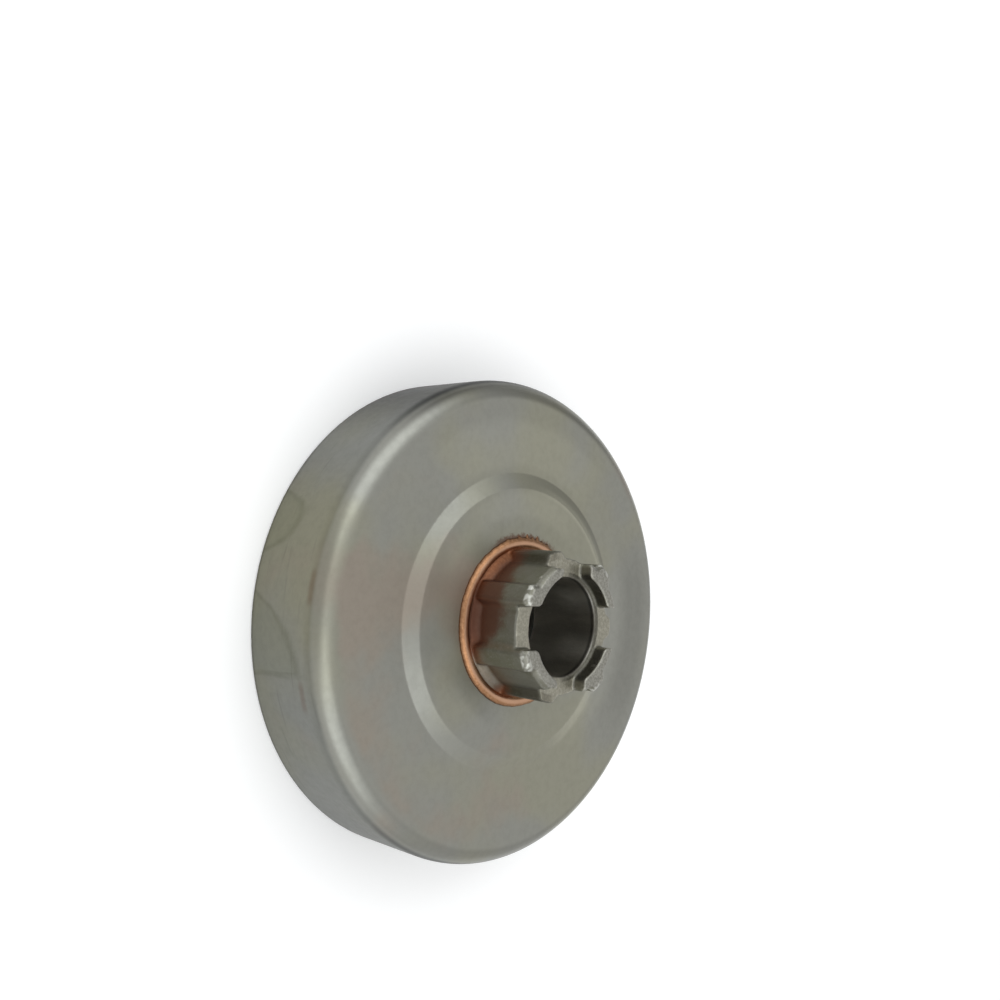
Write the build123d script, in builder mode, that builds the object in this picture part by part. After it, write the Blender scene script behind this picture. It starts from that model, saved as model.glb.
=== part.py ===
"""Clutch drum of a chainsaw: a drawn steel cup with a splined hub brazed through its face.

The drum stands on its open rim with the hub up. The origin is the centre of the rim's plane, and +Z
is the axis of the shaft that the drum turns on. One spline and one drive slot point along +Y.
"""

import os
from math import atan2, hypot, radians, tan

from build123d import *

# Cup, in millimetres
drum_diameter = 71.0        # outside of the wall, where the brake band runs
sheet = 2.5                 # thickness of the drawn steel
face_height = 14.8          # rim to the outside of the flat face
corner_radius = 3.2         # outside of the drawn corner
plateau_diameter = 39.0     # edge of the raised middle
plateau_rise = 1.0
step_width = 2.35           # run of the slope from the plateau down to the face
bend_radius = 0.8           # rounding at the foot and at the top of that slope
rim_chamfer = 0.4

# Hub, in millimetres and degrees
bore_diameter = 14.0        # runs on the needle cage
spline_diameter = 21.5      # over the tips of the splines
spline_depth = 1.05
spline_count = 7
spline_tip_width = 2.5
spline_flank_angle = 60.0   # between a spline's flank and its base
spline_chamfer = 0.6        # round the end of the hub
hub_projection = 10.6       # plateau to the ends of the lugs
slot_count = 4
slot_width = 5.8            # takes the dogs that drive the oil pump
slot_depth = 2.2
lug_setback = 0.7           # edge of the bore to the inside of a lug
lug_inner_rounding = 1.0
lug_outer_rounding = 0.5    # or what the wall beside a slot has room for
rounding_tolerance = 0.02   # to which that room is found
rounding_tries = 20
relieved_step = 2           # splines from the index to those that would leave slivers beside a slot
relieved_wall = 1.05        # thickness that a lug keeps behind such a spline
relief_margin = 0.35        # each side of the base of such a spline
index_angle = 90.0          # where a spline and a slot line up, counted from +X

# Joint between hub and cup, in millimetres
collar_land = 0.35          # collar beyond the tips of the splines, so that they pass the cup's hole
collar_rise = 0.5           # plateau to the top of the collar
ledge_width = 0.45          # flat top of the collar, outside the slope up to the roots of the splines
flange_width = 3.4          # seat against the inside of the plateau
flange_thickness = 1.5
flange_chamfer = 0.4
bore_chamfer = 0.4
braze_clearance = 0.05      # gap round the collar that the braze is drawn into
bead_width = 1.25           # collar to the outer edge of the bead
bead_height = 0.75          # plateau to the crown of the bead
bead_crown = 0.4            # collar to the line of the crown
bead_shoulder = 0.95        # collar to the line where the bead turns down
bead_shoulder_height = 0.5

# Heights above the rim
plateau_height = face_height + plateau_rise
seat_height = plateau_height - sheet
flange_bottom = seat_height - flange_thickness
collar_top = plateau_height + collar_rise
hub_end = plateau_height + hub_projection
slot_floor = hub_end - slot_depth

# Radii
drum_radius = drum_diameter / 2
inner_radius = drum_radius - sheet
plateau_edge = plateau_diameter / 2
step_foot = plateau_edge + step_width
bore_radius = bore_diameter / 2
spline_radius = spline_diameter / 2
root_radius = spline_radius - spline_depth
collar_radius = spline_radius + collar_land
hole_radius = collar_radius + braze_clearance
flange_radius = collar_radius + flange_width
root_slope = collar_radius - ledge_width - root_radius
lug_inner_radius = bore_radius + lug_setback

# Splines
spline_pitch = 360 / spline_count
flank_run = spline_depth / tan(radians(spline_flank_angle))
spline_base_width = spline_tip_width + 2 * flank_run
relief_depth = spline_radius - lug_inner_radius - relieved_wall

os.makedirs("parts", exist_ok=True)

# Drawn cup: its outer skin, and a plainer line one sheet further in, turned about the axis
bend_shift = sheet * tan(atan2(plateau_rise, step_width) / 2)
inner_corner = max(corner_radius - sheet, bend_radius)

with BuildPart() as drum_cup:
    with BuildSketch(Plane.XZ):
        with BuildLine():
            outer_skin = FilletPolyline(
                (hole_radius, plateau_height),
                (plateau_edge, plateau_height),
                (step_foot, face_height),
                (drum_radius, face_height),
                (drum_radius, 0),
                radius=[bend_radius, bend_radius, corner_radius],
            )
            inner_skin = Polyline(
                (hole_radius, seat_height),
                (plateau_edge - bend_shift, seat_height),
                (step_foot - bend_shift, face_height - sheet),
                (inner_radius - inner_corner, face_height - sheet),
                (inner_radius, face_height - sheet - inner_corner),
                (inner_radius, 0),
            )
            Line(outer_skin @ 0, inner_skin @ 0)
            Line(outer_skin @ 1, inner_skin @ 1)
        make_face()
    revolve(axis=Axis.Z)
    chamfer(drum_cup.edges().group_by(Axis.Z)[0], rim_chamfer)

# Hub: a turned flange and collar, the splines above them, and slots that leave lugs at the end
with BuildPart() as splined_hub:
    with BuildSketch(Plane.XZ):
        with BuildLine():
            Polyline(
                (root_radius + root_slope, collar_top),
                (collar_radius, collar_top),
                (collar_radius, seat_height),
                (flange_radius, seat_height),
                (flange_radius, flange_bottom),
                (bore_radius, flange_bottom),
                (bore_radius, collar_top + root_slope),
                (root_radius, collar_top + root_slope),
                close=True,
            )
        make_face()
    revolve(axis=Axis.Z)
    bottom_edges = splined_hub.edges().group_by(Axis.Z)[0].sort_by(SortBy.RADIUS)
    chamfer(bottom_edges[0], bore_chamfer)
    chamfer(bottom_edges[-1], flange_chamfer)

    with BuildSketch(Plane.XY.offset(plateau_height)):
        with PolarLocations(spline_radius, spline_count, start_angle=index_angle):
            Trapezoid(
                spline_base_width + 2 * flank_run,
                2 * spline_depth,
                spline_flank_angle,
                rotation=-90,
                align=(Align.CENTER, Align.MAX),
            )
        Circle(spline_radius, mode=Mode.INTERSECT)
        Circle(root_radius)
        Circle(bore_radius, mode=Mode.SUBTRACT)
    extrude(amount=hub_projection)
    chamfer(splined_hub.faces().sort_by(Axis.Z)[-1].outer_wire().edges(), spline_chamfer)

    with BuildSketch(Plane.XY.offset(slot_floor)) as slots:
        Circle(lug_inner_radius)
        with PolarLocations(0, slot_count, start_angle=index_angle):
            Rectangle(spline_diameter, slot_width, align=(Align.MIN, Align.CENTER))
        with PolarLocations(
            spline_radius,
            2,
            start_angle=index_angle - relieved_step * spline_pitch,
            angular_range=2 * relieved_step * spline_pitch,
            endpoint=True,
        ):
            Rectangle(2 * relief_depth, spline_base_width + 2 * relief_margin)
        inner_corners = slots.vertices().filter_by(
            lambda v: hypot(v.X, v.Y) < lug_inner_radius + relieved_wall / 2
        )
        fillet(inner_corners, lug_inner_rounding)
    extrude(amount=slot_depth, mode=Mode.SUBTRACT)
    outer_edges = splined_hub.edges().filter_by(Axis.Z).filter_by(
        lambda e: e.center().Z > slot_floor
        and hypot(e.center().X, e.center().Y) > root_radius - spline_chamfer
    )
    room = splined_hub.part.max_fillet(outer_edges, rounding_tolerance, rounding_tries)
    fillet(outer_edges, min(lug_outer_rounding, room))

# Braze: a bead in the corner between the collar and the plateau
with BuildPart() as braze_ring:
    with BuildSketch(Plane.XZ):
        with BuildLine():
            Polyline(
                (collar_radius, plateau_height),
                (collar_radius + bead_width, plateau_height),
                (collar_radius + bead_shoulder, plateau_height + bead_shoulder_height),
                (collar_radius + bead_crown, plateau_height + bead_height),
                (collar_radius, collar_top),
                close=True,
            )
        make_face()
    revolve(axis=Axis.Z)

for name, piece in (("drum_cup", drum_cup), ("splined_hub", splined_hub), ("braze_ring", braze_ring)):
    piece.part.label = name
    export_step(piece.part, f"parts/{name}.step")
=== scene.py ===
"""Looks of the clutch drum: finer meshes for its three pieces, their finishes, the floor, light and camera.

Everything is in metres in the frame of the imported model, apart from the finishes, which count in
millimetres and degrees. +Z is the shaft's axis and the open rim stands on z = 0.
"""

from math import atan2, cos, exp, pi, radians, sin, tan

import bmesh
import bpy
from mathutils import Matrix, Vector, noise


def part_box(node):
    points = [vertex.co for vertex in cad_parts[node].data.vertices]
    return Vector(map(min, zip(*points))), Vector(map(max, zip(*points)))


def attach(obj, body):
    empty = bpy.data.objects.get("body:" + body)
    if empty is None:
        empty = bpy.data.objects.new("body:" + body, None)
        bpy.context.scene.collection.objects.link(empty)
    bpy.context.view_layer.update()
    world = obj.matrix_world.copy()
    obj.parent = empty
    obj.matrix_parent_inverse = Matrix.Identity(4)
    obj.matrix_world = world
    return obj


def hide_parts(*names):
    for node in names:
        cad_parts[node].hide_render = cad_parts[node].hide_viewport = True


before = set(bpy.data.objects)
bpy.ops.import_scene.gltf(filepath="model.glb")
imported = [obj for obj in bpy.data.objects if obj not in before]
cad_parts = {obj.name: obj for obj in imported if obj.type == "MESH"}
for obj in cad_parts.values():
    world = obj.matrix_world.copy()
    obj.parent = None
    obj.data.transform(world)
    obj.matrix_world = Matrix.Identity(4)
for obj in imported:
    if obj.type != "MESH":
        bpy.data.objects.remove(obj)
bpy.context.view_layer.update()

MM = 0.001
SHARP_ANGLE = radians(40)       # edges that turn more than this stay crisp

# Cup, from the frame and from its sheet
DRUM_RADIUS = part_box("drum_cup")[1].x
PLATEAU_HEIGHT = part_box("drum_cup")[1].z
PLATEAU_EDGE = 19.5 * MM
PLATEAU_RISE = 1.0 * MM
STEP_WIDTH = 2.35 * MM
FACE_HEIGHT = PLATEAU_HEIGHT - PLATEAU_RISE
SHEET = 2.5 * MM
CORNER_RADIUS = 3.2 * MM
BEND_RADIUS = 0.8 * MM
RIM_ROUNDING = 0.3 * MM
HOLE_RADIUS = 11.15 * MM
CUP_STEPS = 320
CUP_UNEVENNESS = 0.006 * MM
CUP_SWELL_SIZE = 9 * MM

# Hub
SLOT_DEPTH = 2.2 * MM
SLOT_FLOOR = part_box("splined_hub")[1].z - SLOT_DEPTH
HUB_VOXEL = 0.185 * MM
HUB_SMOOTHING = 8
HUB_SMOOTHING_SHARE = 0.5
HUB_GRAIN = 0.012 * MM
HUB_GRAIN_SIZE = 0.45 * MM

# Braze bead
COLLAR_RADIUS = 11.1 * MM
COLLAR_RISE = 0.5 * MM
BEAD_WIDTH = 1.25 * MM
BEAD_HEIGHT = 0.75 * MM
BEAD_CROWN = 0.32 * MM
BEAD_OVERLAP = 0.40 * MM
BEAD_SINK = 0.03 * MM
BEAD_TURNS = 900
BEAD_ROUNDS = 8
WANDER_RATE = 3                 # how fast the bead's size changes round the axis
WANDER_SHARE = 0.06             # by how much of its width and height
RIPPLE_RATE = 14                # the same for its outer edge alone
RIPPLE_SHARE = 0.05
RIPPLE_SHIFT = Vector((0, 0, 5))
SPLASHES = (                    # angle in degrees, reach in metres and half width in degrees
    (148, 0.25 * MM, 2.0), (157, 0.45 * MM, 1.4), (163, 0.30 * MM, 1.2), (168, 0.75 * MM, 1.3),
    (173, 0.40 * MM, 1.0), (178, 0.65 * MM, 1.5), (186, 0.35 * MM, 1.8), (197, 0.20 * MM, 2.5),
)

# Colours of the finishes: red, green, blue and alpha
STEEL_WARM = (0.340, 0.335, 0.268, 1.0)
STEEL_COOL = (0.325, 0.326, 0.293, 1.0)
STEEL_PINK = (0.352, 0.312, 0.262, 1.0)
STEEL_BROWN = (0.15, 0.08, 0.055, 1.0)
HUB_DARK = (0.185, 0.18, 0.14, 1.0)
HUB_PALE = (0.215, 0.21, 0.18, 1.0)
HUB_SPECK = (0.25, 0.25, 0.215, 1.0)
SLOT_DARK = (0.300, 0.288, 0.235, 1.0)
SLOT_PALE = (0.430, 0.412, 0.338, 1.0)
LUG_DARK = (0.255, 0.249, 0.217, 1.0)
LUG_PALE = (0.400, 0.392, 0.348, 1.0)
WORN_EDGE_HIGHLIGHT = (0.50, 0.49, 0.44, 1.0)
WORN_TIP_GLINT = (0.52, 0.52, 0.475, 1.0)
BORE_DARK = (0.29, 0.275, 0.235, 1.0)
BORE_PALE = (0.39, 0.365, 0.31, 1.0)
COPPER_STAIN = (0.150, 0.080, 0.058, 1.0)
COPPER_DARK = (0.17, 0.070, 0.036, 1.0)
COPPER_PALE = (0.25, 0.112, 0.058, 1.0)
COPPER_BURNT = (0.092, 0.041, 0.028, 1.0)
BRAZE_DARK = (0.33, 0.165, 0.083, 1.0)
BRAZE_PALE = (0.45, 0.245, 0.132, 1.0)
BRAZE_CREST_HIGHLIGHT = (0.60, 0.36, 0.230, 1.0)
BRAZE_THIN = (0.13, 0.065, 0.038, 1.0)
FLOOR_DARK = (0.93, 0.93, 0.93, 1.0)
FLOOR_PALE = (0.95, 0.95, 0.95, 1.0)
ROOM_COLOUR = (1.0, 1.0, 1.0, 1.0)

# Where the cup's outer skin starts, by radius, and where its corner ends, by height, in millimetres
OUTER_SKIN = (33.5, 34.5)
WALL_TOP = (13.5, 12.7)

# Painted highlights and shade on the cup's outside. A row has the angles where it starts and ends and their
# fade, the radii where it starts and ends and their blur, and the share that the colour is multiplied by.
PAINTED_LIGHT_TONES = (
    (-132.0, -68.0, 12.0, 12.0, 17.2, 1.8, 1.26),
    (-52.0, -20.0, 12.0, 12.0, 15.0, 1.0, 0.88),
    (30.0, 98.0, 10.0, 19.6, 21.8, 0.4, 1.30),
    (44.0, 66.0, 8.0, 19.4, 22.4, 0.6, 1.16),
    (104.0, 168.0, 12.0, 19.2, 20.4, 0.4, 1.28),
    (106.0, 150.0, 12.0, 20.9, 21.9, 0.3, 0.92),
    (40.0, 110.0, 14.0, 22.3, 24.5, 0.8, 1.08),
    (58.0, 112.0, 14.0, 26.0, 31.5, 1.5, 0.85),
    (-76.0, 114.0, 12.0, 32.9, 34.2, 0.4, 0.81),
    (-112.0, -82.0, 10.0, 34.3, 35.1, 0.3, 0.84),
)

# The same painted highlights and shade on the side of -X, where the angle counts both ways from +X
FAR_PAINTED_LIGHT_TONES = (
    (146.0, 200.0, 14.0, 15.5, 19.0, 0.8, 1.10),
    (146.0, 200.0, 14.0, 22.8, 29.5, 1.0, 1.11),
    (148.0, 200.0, 14.0, 32.9, 34.2, 0.4, 0.75),
)

# Sides with painted dark reflections: middle and half width, then the shares for the wall and for the corner
DARK_REFLECTION_SIDES = (
    (-172.0, 27.0, 0.22, 0.36),
    (-8.0, 29.0, 0.68, 0.70),
)

# Stains that rise from the rim: the angles of one end, the peak and the other end, and the peak's height
STAINS = (
    (-118.0, -111.5, -102.5, 7.0),
    (-95.0, -78.0, -76.3, 11.0),
)
STAIN_POWER = 2.5               # how square the arch of a stain is
STAIN_SLOPE = 1.3               # mean slope of that arch, beside a straight line to its peak

# Drips under the corner: the angles where they start and end, and their heights
DRIPS = (
    (-76.5, -70.5, 10.4, 11.4),
    (-100.0, -93.0, 12.2, 12.9),
)

# Camera, light and floor
CAMERA_PLACE = Vector((-9.315, -113.961, 121.891)) * MM
CAMERA_RIGHT = Vector((-0.065094, 0.696314, 0.714779))
CAMERA_UP = Vector((-0.996450, -0.083674, -0.009232))
CAMERA_LENS = 38.06
CAMERA_SENSOR = 36.0
CAMERA_NEAR = 0.01
CAMERA_FAR = 20.0
LAMP_DISTANCE = 0.6
LAMPS = (
    {"direction": Vector((-0.62, -0.14, 0.72)), "width": 0.62, "height": 0.40, "power": 0.97},
    {"direction": Vector((0.56, -0.32, 0.76)), "width": 0.46, "height": 0.46, "power": 0.95},
)
LAMP_COLOUR = (0.94, 0.98, 1.0)
ROOM_LEVEL = 0.75
DARK_LEVEL = 0.34
DARK_SIDE = Vector((-0.62, 0.77, 0.10))
DARK_EDGE = (0.80, 0.95)        # cosines of the angles from that side where the dark starts and is full
FLOOR_RADIUS = 4.0
FLOOR_SEGMENTS = 96
FLOOR_LIFT = 0.15
FLOOR_DROP = 0.02 * MM


def new_piece(name, points, faces, node, material):
    """A shaded mesh object that stands for a node of the frame."""
    mesh = bpy.data.meshes.new(name)
    mesh.from_pydata(points, [], faces)
    mesh.validate()
    mesh.shade_smooth()
    mesh.set_sharp_from_angle(angle=SHARP_ANGLE)
    mesh.materials.append(material)
    piece = bpy.data.objects.new(name, mesh)
    bpy.context.scene.collection.objects.link(piece)
    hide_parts(node)
    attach(piece, "root")
    return piece


def arc_between(before, corner, after, radius, steps):
    """Points of the arc that rounds a corner of a line of (radius, height) points."""
    corner = Vector(corner)
    back = (Vector(before) - corner).normalized()
    on = (Vector(after) - corner).normalized()
    half = back.angle(on) / 2
    run = radius / tan(half)
    centre = corner + (back + on).normalized() * (radius / sin(half))
    start = corner + back * run - centre
    end = corner + on * run - centre
    sweep = atan2(start.cross(end), start.dot(end))
    return [centre + Matrix.Rotation(sweep * i / steps, 2) @ start for i in range(steps + 1)]


def cup_profile():
    """Closed section of the drawn cup, from its hole out over the face, down the wall and back inside."""
    bend_shift = SHEET * tan(atan2(PLATEAU_RISE, STEP_WIDTH) / 2)
    inner_radius = DRUM_RADIUS - SHEET
    corners = [
        ((HOLE_RADIUS, PLATEAU_HEIGHT), 0, 1),
        ((PLATEAU_EDGE, PLATEAU_HEIGHT), BEND_RADIUS, 6),
        ((PLATEAU_EDGE + STEP_WIDTH, FACE_HEIGHT), BEND_RADIUS, 6),
        ((DRUM_RADIUS, FACE_HEIGHT), CORNER_RADIUS, 20),
        ((DRUM_RADIUS, 0), RIM_ROUNDING, 4),
        ((inner_radius, 0), RIM_ROUNDING, 4),
        ((inner_radius, FACE_HEIGHT - SHEET), BEND_RADIUS, 8),
        ((PLATEAU_EDGE + STEP_WIDTH - bend_shift, FACE_HEIGHT - SHEET), BEND_RADIUS, 5),
        ((PLATEAU_EDGE - bend_shift, PLATEAU_HEIGHT - SHEET), BEND_RADIUS, 5),
        ((HOLE_RADIUS, PLATEAU_HEIGHT - SHEET), 0, 1),
    ]
    profile = []
    for i, (corner, radius, steps) in enumerate(corners):
        if radius == 0:
            profile.append(Vector(corner))
        else:
            before = corners[i - 1][0]
            after = corners[(i + 1) % len(corners)][0]
            profile += arc_between(before, corner, after, radius, steps)
    return profile


def swept(sections, flip=False):
    """Points and faces of a ring through closed (radius, height) sections at even angles round the axis."""
    points = []
    for i, section in enumerate(sections):
        angle = 2 * pi * i / len(sections)
        points += [(r * cos(angle), r * sin(angle), z) for r, z in section]
    count = len(sections[0])
    faces = []
    for i in range(len(sections)):
        here = i * count
        there = (i + 1) % len(sections) * count
        for j in range(count):
            k = (j + 1) % count
            if flip:
                faces.append((here + j, there + j, there + k, here + k))
            else:
                faces.append((here + j, here + k, there + k, there + j))
    return points, faces


class Finish:
    """Node tree of one material, with short calls for the nodes that the finishes share."""

    def __init__(self, name):
        self.material = bpy.data.materials.new(name)
        self.material.use_nodes = True
        self.tree = self.material.node_tree
        self.tree.nodes.clear()
        self.output = self.node("ShaderNodeOutputMaterial", {})
        place = self.node("ShaderNodeTexCoord", {}).outputs["Object"]
        self.point = self.vector("SCALE", place, Scale=1 / MM)
        parts = self.node("ShaderNodeSeparateXYZ", {0: self.point})
        self.x, self.y, self.z = parts.outputs
        flat = self.vector("MULTIPLY", self.point, (1, 1, 0))
        length = self.node("ShaderNodeVectorMath", {0: flat}, operation="LENGTH")
        self.radius = length.outputs["Value"]
        self.outward = self.vector("NORMALIZE", flat)
        self.turn = self.math("DEGREES", self.math("ARCTAN2", self.y, self.x))

    def node(self, kind, inputs, **settings):
        """A new node with its settings, and with each input linked or set to a value."""
        made = self.tree.nodes.new(kind)
        for key, value in settings.items():
            setattr(made, key, value)
        for key, value in inputs.items():
            if isinstance(value, bpy.types.NodeSocket):
                self.tree.links.new(value, made.inputs[key])
            else:
                made.inputs[key].default_value = value
        return made

    def vector(self, operation, first, second=(0, 0, 0), **more):
        inputs = {0: first, 1: second, **more}
        return self.node("ShaderNodeVectorMath", inputs, operation=operation).outputs[0]

    def dot(self, first, second):
        inputs = {0: first, 1: second}
        made = self.node("ShaderNodeVectorMath", inputs, operation="DOT_PRODUCT")
        return made.outputs["Value"]

    def math(self, operation, first, second=0.0, third=0.0):
        inputs = {0: first, 1: second, 2: third}
        return self.node("ShaderNodeMath", inputs, operation=operation).outputs[0]

    def rise(self, value, low, high):
        """0 below low, 1 above high, smooth between them; low may be the larger one."""
        inputs = {"Value": value, "From Min": low, "From Max": high}
        return self.node("ShaderNodeMapRange", inputs, interpolation_type="SMOOTHSTEP").outputs[0]

    def band(self, value, low, high, soft):
        """1 between low and high, with soft edges."""
        start = self.rise(value, low - soft, low + soft)
        end = self.rise(value, high + soft, high - soft)
        return self.math("MULTIPLY", start, end)

    def both(self, *masks):
        """1 where all the masks are 1."""
        result = masks[0]
        for mask in masks[1:]:
            result = self.math("MULTIPLY", result, mask)
        return result

    def noise(self, vector, scale, detail=3.0, roughness=0.55):
        inputs = {"Vector": vector, "Scale": scale, "Detail": detail, "Roughness": roughness}
        return self.node("ShaderNodeTexNoise", inputs).outputs[0]

    def mix(self, share, first, second, blend="MIX"):
        inputs = {0: share, 6: first, 7: second}
        made = self.node("ShaderNodeMix", inputs, data_type="RGBA", blend_type=blend, clamp_factor=True)
        return made.outputs[2]

    def shade(self, colour, red, green=None, blue=None):
        """A colour made darker or lighter, by one share or by one for each channel."""
        share = (red, red if green is None else green, red if blue is None else blue, 1.0)
        return self.mix(1.0, colour, share, "MULTIPLY")

    def lines(self, spacing, along):
        """Fine lines round the axis: noise that is long along them and short across."""
        across = self.math("DIVIDE", self.math("ADD", self.radius, self.z), spacing)
        up = self.node("ShaderNodeCombineXYZ", {2: across}).outputs[0]
        stretched = self.vector("ADD", self.vector("SCALE", self.outward, Scale=along), up)
        return self.noise(stretched, 1.0, 2.0)

    def metal(self, colour, roughness, height, depth):
        """Principled metal with a colour, a roughness and a relief of a given depth."""
        relief = self.node("ShaderNodeBump", {"Height": height, "Distance": depth, "Strength": 1.0})
        inputs = {"Base Color": colour, "Roughness": roughness, "Metallic": 1.0}
        inputs["Normal"] = relief.outputs[0]
        surface = self.node("ShaderNodeBsdfPrincipled", inputs)
        self.tree.links.new(surface.outputs[0], self.output.inputs["Surface"])
        return self.material


def sheet_colour(f, mottle):
    """Warm, cool and pink clouds of the sheet, painted highlights and shade by place, and a brown edge beside
    the braze.
    """
    clouds = f.noise(f.point, 0.055, 2.0)
    tints = f.noise(f.vector("ADD", f.point, (40, 0, 20)), 0.05, 4.0)
    face_side = f.math("MULTIPLY", f.y, f.rise(f.radius, 33.5, 31.0))
    tints = f.math("MULTIPLY_ADD", face_side, -0.006, tints)
    colour = f.mix(f.rise(clouds, 0.38, 0.62), STEEL_WARM, STEEL_COOL)
    colour = f.mix(f.rise(tints, 0.55, 0.75), colour, STEEL_PINK)
    colour = f.mix(f.rise(mottle, 0.35, 0.75), colour, f.shade(colour, 0.94))
    both_ways = f.math("ABSOLUTE", f.turn)
    # painted highlights and shade: each row lightens or darkens the colour by angle and radius
    for angle, rows in ((f.turn, PAINTED_LIGHT_TONES), (both_ways, FAR_PAINTED_LIGHT_TONES)):
        for start, end, fade, near, far, blur, share in rows:
            place = f.both(f.band(angle, start, end, fade), f.band(f.radius, near, far, blur))
            colour = f.mix(place, colour, f.shade(colour, share))
    halo = f.math("MULTIPLY_ADD", f.noise(f.point, 1.6, 3.0), 1.6, f.radius)
    halo = f.both(f.rise(halo, 13.9, 13.3), f.rise(both_ways, 140.0, 160.0))
    return f.mix(f.math("MULTIPLY", halo, 0.8), colour, STEEL_BROWN)


def wall_colour(f, colour, wall, outer):
    """The wall painted darker than the face as shade and warmer on one side, with a painted dark reflection
    along the corner and on two sides.
    """
    warm = f.both(wall, f.band(f.turn, -122.0, -78.0, 12.0))
    # painted shade: the wall's colour made darker than the face's
    cool_wall_shade = f.shade(colour, 0.62, 0.63, 0.645)
    warm_wall_shade = f.shade(colour, 0.645, 0.635, 0.585)
    colour = f.mix(wall, colour, f.mix(warm, cool_wall_shade, warm_wall_shade))
    # painted dark reflection in a band just below the corner
    corner_reflection_shade = f.both(outer, f.band(f.z, 12.1, 13.4, 0.4))
    colour = f.mix(corner_reflection_shade, colour, f.shade(colour, 0.93))
    corner = f.both(f.rise(f.radius, 32.5, 33.5), f.band(f.z, 12.3, 14.1, 0.4))
    # painted dark reflection on two sides of the wall and corner
    for middle, reach, wall_share, corner_share in DARK_REFLECTION_SIDES:
        away = f.math("WRAP", f.math("SUBTRACT", f.turn, middle), 180.0, -180.0)
        dark_reflection = f.rise(f.math("ABSOLUTE", away), reach + 14.0, reach - 10.0)
        colour = f.mix(f.both(wall, dark_reflection), colour, f.shade(colour, wall_share))
        colour = f.mix(f.both(corner, dark_reflection), colour, f.shade(colour, corner_share))
    return colour


def stain_depth(f, low_end, peak, high_end, height):
    """How far a point of the wall is inside the arched edge of a stain."""
    before = f.math("DIVIDE", f.math("SUBTRACT", peak, f.turn), peak - low_end)
    after = f.math("DIVIDE", f.math("SUBTRACT", f.turn, peak), high_end - peak)
    arch = f.math("POWER", f.math("MAXIMUM", before, after), STAIN_POWER)
    top = f.math("MULTIPLY", f.math("SUBTRACT", 1.0, arch), height)
    slope = STAIN_SLOPE / (DRUM_RADIUS / MM * radians(1))
    early = slope * height / (peak - low_end)
    late = slope * height / (high_end - peak)
    steep = f.math("MULTIPLY_ADD", f.rise(f.turn, peak - 0.6, peak + 0.6), late - early, early)
    return f.math("DIVIDE", f.math("SUBTRACT", top, f.z), f.math("ADD", steep, 1.0))


def wall_marks(f, colour, wall, outer):
    """Streaks round the wall, stains with a dark border, drips under the corner and a dark rim."""
    streaks = f.both(wall, f.rise(f.lines(0.9, 3.0), 0.60, 0.74))
    colour = f.mix(streaks, colour, f.shade(colour, 0.86))
    wobble = f.math("SUBTRACT", f.noise(f.point, 0.3, 4.0), 0.5)
    for stain in STAINS:
        depth = f.math("MULTIPLY_ADD", wobble, 0.9, stain_depth(f, *stain))
        inside = f.both(wall, f.rise(depth, -0.3, 0.5))
        border = f.both(wall, f.band(depth, 0.15, 0.55, 0.40))
        colour = f.mix(inside, colour, f.shade(colour, 0.93, 0.94, 0.89))
        colour = f.mix(border, colour, f.shade(colour, 0.80, 0.80, 0.78))
    for start, end, low, high in DRIPS:
        drip = f.both(f.band(f.turn, start, end, 1.2), f.band(f.z, low, high, 0.35), outer)
        colour = f.mix(drip, colour, f.shade(colour, 0.84, 0.75, 0.72))
    rim = f.both(wall, f.rise(f.z, 0.9, 0.2))
    return f.mix(rim, colour, f.shade(colour, 0.6))


def drawn_steel():
    """Satin sheet steel: cloudy tints, painted highlights and shade, faint lines round the axis, and a wall
    painted darker as shade, with stains.
    """
    f = Finish("drawn_steel")
    mottle = f.noise(f.point, 0.9, 4.0, 0.65)
    outer = f.rise(f.radius, *OUTER_SKIN)
    wall = f.both(f.rise(f.z, *WALL_TOP), outer)
    colour = sheet_colour(f, mottle)
    colour = wall_colour(f, colour, wall, outer)
    colour = wall_marks(f, colour, wall, outer)

    roughness = f.math("MULTIPLY_ADD", mottle, 0.14, 0.32)
    roughness = f.math("MULTIPLY_ADD", wall, 0.08, roughness)
    roughness = f.math("MULTIPLY_ADD", f.rise(f.radius, 17.0, 14.0), 0.08, roughness)
    lines = f.lines(0.22, 5.0)
    grain = f.noise(f.point, 5.0, 3.0, 0.6)
    height = f.math("ADD", f.math("MULTIPLY", lines, 0.6), f.math("MULTIPLY", grain, 0.4))
    return f.metal(colour, roughness, height, 0.006 * MM)


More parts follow.
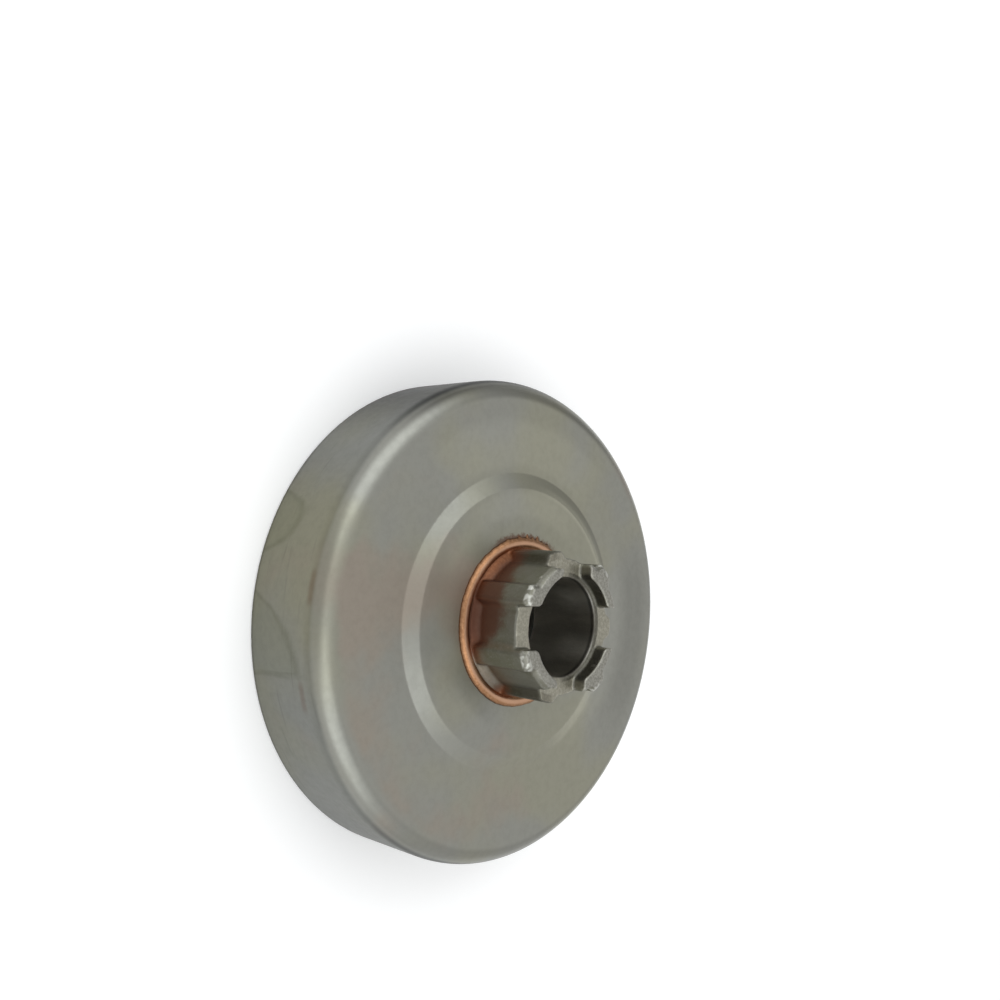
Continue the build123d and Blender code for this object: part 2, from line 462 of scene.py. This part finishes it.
def lug_colour(f, colour, grain, above_slots, outside):
    """Speckled lug ends and slot floors, worn edges and tips with painted highlights, painted shade beside
    some splines and on the lugs' upright faces.
    """
    geometry = f.node("ShaderNodeNewGeometry", {}).outputs
    facing_up = f.dot(geometry["Normal"], (0, 0, 1))
    facing_out = f.dot(geometry["Normal"], f.outward)
    ends = f.both(f.rise(above_slots, -0.3, -0.1), f.rise(facing_up, 0.72, 0.93))
    specks = f.rise(grain, 0.38, 0.66)
    slot_tone = f.mix(specks, SLOT_DARK, SLOT_PALE)
    lug_tone = f.mix(specks, LUG_DARK, LUG_PALE)
    colour = f.mix(ends, colour, f.mix(f.rise(above_slots, 0.6, 1.4), slot_tone, lug_tone))
    # pale convex edges: wear together with a painted highlight
    worn_and_highlit = f.both(f.rise(above_slots, 0.9, 1.4), f.rise(geometry["Pointiness"], 0.52, 0.56))
    colour = f.mix(f.math("MULTIPLY", worn_and_highlit, 0.7), colour, WORN_EDGE_HIGHLIGHT)
    # bright spots on the spline tips: wear together with painted glints
    spots = f.rise(f.noise(f.point, 1.1, 1.0), 0.46, 0.64)
    worn_tip_glints = f.both(f.rise(f.z, 25.3, 25.7), f.rise(f.radius, 9.6, 9.9), spots)
    colour = f.mix(worn_tip_glints, colour, WORN_TIP_GLINT)
    # painted shade on the flanks beside two splines
    flank_shade = f.math("ADD", f.band(f.turn, -168.0, -150.0, 5.0), f.band(f.turn, -30.0, -8.0, 5.0))
    flank_shade = f.both(flank_shade, outside, f.rise(above_slots, 1.2, -1.0), f.rise(f.radius, 9.5, 9.8))
    colour = f.mix(flank_shade, colour, f.shade(colour, 0.45, 0.43, 0.40))
    # painted shade on the lugs' upright faces that face inward or along the slots
    upright = f.both(f.rise(facing_out, 0.40, 0.05), f.rise(facing_up, 0.60, 0.35))
    shaded_lug_backs = f.both(upright, f.rise(above_slots, 0.1, 0.4))
    return f.mix(shaded_lug_backs, colour, f.shade(colour, 0.96, 0.94, 0.91))


def copper_skin(f, colour, grain, outside):
    """Copper drawn up over the foot of the splines, with a brown stain above it and one side left bare."""
    ragged = f.math("MULTIPLY", f.math("SUBTRACT", f.noise(f.point, 0.7, 4.0, 0.6), 0.5), 3.0)
    reach = f.math("MULTIPLY_ADD", f.band(f.turn, -130.0, -78.0, 16.0), 3.6, 17.6)
    reach = f.math("MULTIPLY_ADD", f.band(f.turn, -178.0, -128.0, 10.0), 1.8, reach)
    bare = f.math("MULTIPLY", f.band(f.turn, -66.0, -24.0, 9.0), 0.85)
    skin = f.both(f.rise(f.radius, 8.6, 9.2), outside, f.math("SUBTRACT", 1.0, bare))
    stain_height = f.math("SUBTRACT", f.math("ADD", f.z, ragged), reach)
    stain = f.both(skin, f.rise(stain_height, 1.4, -1.0))
    colour = f.mix(f.math("MULTIPLY", stain, 0.96), colour, COPPER_STAIN)
    copper = f.both(skin, f.rise(f.math("MULTIPLY_ADD", ragged, 0.4, f.z), 17.9, 16.5))
    tone = f.mix(f.rise(grain, 0.4, 0.7), COPPER_DARK, COPPER_PALE)
    burnt = f.band(f.turn, -124.0, -70.0, 12.0)
    tone = f.mix(f.math("MULTIPLY", burnt, 0.9), tone, COPPER_BURNT)
    return f.mix(copper, colour, tone)


def bore_colour(f, colour, above_slots):
    """The bore with streaks along it and two pale patches of painted light, and painted shade on the ledge at
    its edge on the side of +Y.
    """
    bore = f.both(f.rise(f.radius, 7.35, 7.15), f.rise(above_slots, 0.0, -0.15))
    round_axis = f.vector("SCALE", f.outward, Scale=3.0)
    along_axis = f.vector("MULTIPLY", f.point, (0, 0, 0.12))
    streaks = f.noise(f.vector("ADD", round_axis, along_axis), 1.0, 4.0, 0.5)
    tone = f.mix(f.rise(streaks, 0.3, 0.7), BORE_DARK, BORE_PALE)
    # painted light: two pale patches on the bore wall
    bore_light_patches = f.math("ADD", f.band(f.turn, 112.0, 136.0, 12.0), f.band(f.turn, 50.0, 74.0, 12.0))
    bore_light_patches = f.both(bore_light_patches, f.rise(f.z, 16.5, 20.5))
    tone = f.mix(bore_light_patches, tone, f.shade(tone, 1.9, 1.95, 2.05))
    colour = f.mix(bore, colour, tone)
    # painted shade on the ledge at the bore's edge, on the side of +Y
    edge = f.both(f.band(above_slots, -0.75, 0.2, 0.2), f.rise(f.radius, 7.85, 7.6))
    ledge_shade = f.both(edge, f.rise(f.y, -1.0, 2.0))
    return f.mix(ledge_shade, colour, f.shade(colour, 0.40))


def hub_steel():
    """Grainy sintered steel, dark in the bore, with copper drawn up over the foot of the splines."""
    f = Finish("hub_steel")
    grain = f.noise(f.point, 3.0, 4.0, 0.7)
    patches = f.noise(f.point, 0.35, 3.0)
    plateau = PLATEAU_HEIGHT / MM
    outside = f.rise(f.z, plateau - 2.2, plateau - 1.2)
    above_slots = f.math("SUBTRACT", f.z, SLOT_FLOOR / MM)
    colour = f.mix(f.rise(patches, 0.35, 0.65), HUB_DARK, HUB_PALE)
    colour = f.mix(f.rise(grain, 0.45, 0.75), colour, HUB_SPECK)
    colour = lug_colour(f, colour, grain, above_slots, outside)
    colour = copper_skin(f, colour, grain, outside)
    colour = bore_colour(f, colour, above_slots)
    roughness = f.math("MULTIPLY_ADD", grain, 0.25, 0.30)
    return f.metal(colour, roughness, grain, 0.03 * MM)


def copper_braze():
    """Copper braze: a painted highlight along its crest, brown where it thins out on the steel."""
    f = Finish("braze")
    grain = f.noise(f.point, 2.5, 4.0, 0.6)
    foot = PLATEAU_HEIGHT / MM
    colour = f.mix(f.rise(grain, 0.35, 0.7), BRAZE_DARK, BRAZE_PALE)
    # painted highlight along the bead's crest
    colour = f.mix(f.rise(f.z, foot + 0.58, foot + 0.72), colour, BRAZE_CREST_HIGHLIGHT)
    thin = f.rise(f.math("MULTIPLY_ADD", grain, 0.2, f.z), foot + 0.42, foot + 0.18)
    colour = f.mix(f.math("MULTIPLY", thin, 0.85), colour, BRAZE_THIN)
    roughness = f.math("MULTIPLY_ADD", grain, 0.2, 0.26)
    return f.metal(colour, roughness, grain, 0.02 * MM)


def pale_floor():
    """Matt white floor with the faintest clouds in it, a little lifted where it is seen in the open."""
    f = Finish("floor")
    clouds = f.noise(f.point, 0.01, 2.0)
    matt = f.node("ShaderNodeBsdfDiffuse", {"Color": f.mix(clouds, FLOOR_DARK, FLOOR_PALE)})
    path = f.node("ShaderNodeLightPath", {}).outputs
    seen = f.math("MAXIMUM", path["Is Camera Ray"], path["Is Glossy Ray"])
    seen = f.math("MAXIMUM", seen, path["Is Transmission Ray"])
    in_the_open = f.rise(f.radius, 0.6 * DRUM_RADIUS / MM, DRUM_RADIUS / MM)
    strength = f.math("MULTIPLY", f.both(seen, in_the_open), FLOOR_LIFT)
    lift = f.node("ShaderNodeEmission", {"Strength": strength})
    surface = f.node("ShaderNodeAddShader", {0: matt.outputs[0], 1: lift.outputs[0]})
    f.tree.links.new(surface.outputs[0], f.output.inputs["Surface"])
    return f.material


def make_cup():
    """The cup's section turned about the axis, with a skin that is very slightly uneven."""
    points, faces = swept([cup_profile()] * CUP_STEPS)
    cup = new_piece("drum_cup_skin", points, faces, "drum_cup", drawn_steel())
    for vertex in cup.data.vertices:
        swell = noise.noise(vertex.co / CUP_SWELL_SIZE)
        vertex.co += vertex.normal * swell * CUP_UNEVENNESS


def make_hub():
    """The hub's solid as an even fine mesh, its edges softened and its skin lightly grained."""
    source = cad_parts["splined_hub"]
    work = bpy.data.objects.new("hub_work", source.data.copy())
    bpy.context.scene.collection.objects.link(work)
    remesh = work.modifiers.new("even", "REMESH")
    remesh.mode = "VOXEL"
    remesh.voxel_size = HUB_VOXEL
    soften = work.modifiers.new("soften", "SMOOTH")
    soften.factor = HUB_SMOOTHING_SHARE
    soften.iterations = HUB_SMOOTHING
    shape = work.evaluated_get(bpy.context.evaluated_depsgraph_get())
    mesh = bpy.data.meshes.new_from_object(shape)
    bpy.data.objects.remove(work)
    points = []
    for vertex in mesh.vertices:
        rough = noise.noise(vertex.co / HUB_GRAIN_SIZE)
        points.append(vertex.co + vertex.normal * rough * HUB_GRAIN)
    faces = [tuple(face.vertices) for face in mesh.polygons]
    bpy.data.meshes.remove(mesh)
    new_piece("splined_hub_skin", points, faces, "splined_hub", hub_steel())


def bead_section(angle):
    """Section of the bead at an angle: from its toe over the crown and down onto the collar."""
    way = Vector((cos(angle), sin(angle), 0))
    wander = noise.noise(way * WANDER_RATE)
    ripple = noise.noise(way * RIPPLE_RATE + RIPPLE_SHIFT)
    width = BEAD_WIDTH * (1 + WANDER_SHARE * wander + RIPPLE_SHARE * ripple)
    height = BEAD_HEIGHT * (1 + WANDER_SHARE * wander)
    splash = 0.0
    for at, reach, half in SPLASHES:
        splash += reach * exp(-((angle - radians(at)) / radians(half)) ** 2)
    foot = PLATEAU_HEIGHT - BEAD_SINK
    section = []
    for i in range(BEAD_ROUNDS + 1):
        lean = pi / 2 * i / BEAD_ROUNDS
        out = BEAD_CROWN + (width - BEAD_CROWN) * cos(lean) + splash * (1 - sin(lean)) ** 3
        section.append((COLLAR_RADIUS + out, foot + height * sin(lean)))
    inner_height = COLLAR_RISE + BEAD_SINK
    for i in range(1, BEAD_ROUNDS + 1):
        share = i / BEAD_ROUNDS
        fall = (1 - cos(pi * share)) / 2
        out = BEAD_CROWN - (BEAD_CROWN + BEAD_OVERLAP) * share
        section.append((COLLAR_RADIUS + out, foot + height + (inner_height - height) * fall))
    section.append((COLLAR_RADIUS - BEAD_OVERLAP, foot + COLLAR_RISE))
    section.append((COLLAR_RADIUS - BEAD_SINK, foot + COLLAR_RISE - BEAD_SINK))
    section.append((COLLAR_RADIUS - BEAD_SINK, foot - BEAD_SINK))
    return section


def make_braze():
    """A bead whose width and height wander, with thin splashes beyond its outer edge."""
    sections = [bead_section(2 * pi * i / BEAD_TURNS) for i in range(BEAD_TURNS)]
    points, faces = swept(sections, flip=True)
    new_piece("braze_bead", points, faces, "braze_ring", copper_braze())


def make_floor():
    """A wide round floor just under the rim."""
    mesh = bpy.data.meshes.new("floor")
    shape = bmesh.new()
    bmesh.ops.create_circle(shape, cap_ends=True, radius=FLOOR_RADIUS, segments=FLOOR_SEGMENTS)
    shape.to_mesh(mesh)
    shape.free()
    mesh.materials.append(pale_floor())
    floor = bpy.data.objects.new("floor", mesh)
    floor.location.z = -FLOOR_DROP
    bpy.context.scene.collection.objects.link(floor)


def make_light():
    """Two soft boxes above the drum and a plain room that is darker to one side."""
    for box in LAMPS:
        data = bpy.data.lights.new("soft_box", "AREA")
        data.shape = "RECTANGLE"
        data.size = box["width"]
        data.size_y = box["height"]
        data.energy = box["power"]
        data.color = LAMP_COLOUR
        lamp = bpy.data.objects.new("soft_box", data)
        lamp.location = box["direction"].normalized() * LAMP_DISTANCE
        lamp.rotation_mode = "QUATERNION"
        lamp.rotation_quaternion = box["direction"].to_track_quat("Z", "Y")
        bpy.context.scene.collection.objects.link(lamp)

    world = bpy.data.worlds.new("room")
    bpy.context.scene.world = world
    world.use_nodes = True
    tree = world.node_tree
    way = tree.nodes.new("ShaderNodeTexCoord").outputs["Generated"]
    toward = tree.nodes.new("ShaderNodeVectorMath")
    toward.operation = "DOT_PRODUCT"
    tree.links.new(way, toward.inputs[0])
    toward.inputs[1].default_value = DARK_SIDE.normalized()
    level = tree.nodes.new("ShaderNodeMapRange")
    level.interpolation_type = "SMOOTHSTEP"
    tree.links.new(toward.outputs["Value"], level.inputs["Value"])
    level.inputs["From Min"].default_value = DARK_EDGE[0]
    level.inputs["From Max"].default_value = DARK_EDGE[1]
    level.inputs["To Min"].default_value = ROOM_LEVEL
    level.inputs["To Max"].default_value = DARK_LEVEL
    background = tree.nodes["Background"]
    background.inputs["Color"].default_value = ROOM_COLOUR
    tree.links.new(level.outputs[0], background.inputs["Strength"])


def make_camera():
    """The camera, with the place, turn and lens that were fitted to the photo."""
    data = bpy.data.cameras.new("camera")
    data.lens = CAMERA_LENS
    data.sensor_width = CAMERA_SENSOR
    data.clip_start = CAMERA_NEAR
    data.clip_end = CAMERA_FAR
    camera = bpy.data.objects.new("camera", data)
    back = CAMERA_RIGHT.cross(CAMERA_UP)
    axes = Matrix((CAMERA_RIGHT, CAMERA_UP, back)).transposed()
    camera.matrix_world = Matrix.Translation(CAMERA_PLACE) @ axes.to_4x4()
    bpy.context.scene.collection.objects.link(camera)
    bpy.context.scene.camera = camera


make_camera()
make_floor()
make_light()
make_cup()
make_hub()
make_braze()
bpy.context.scene.view_settings.view_transform = "Standard"
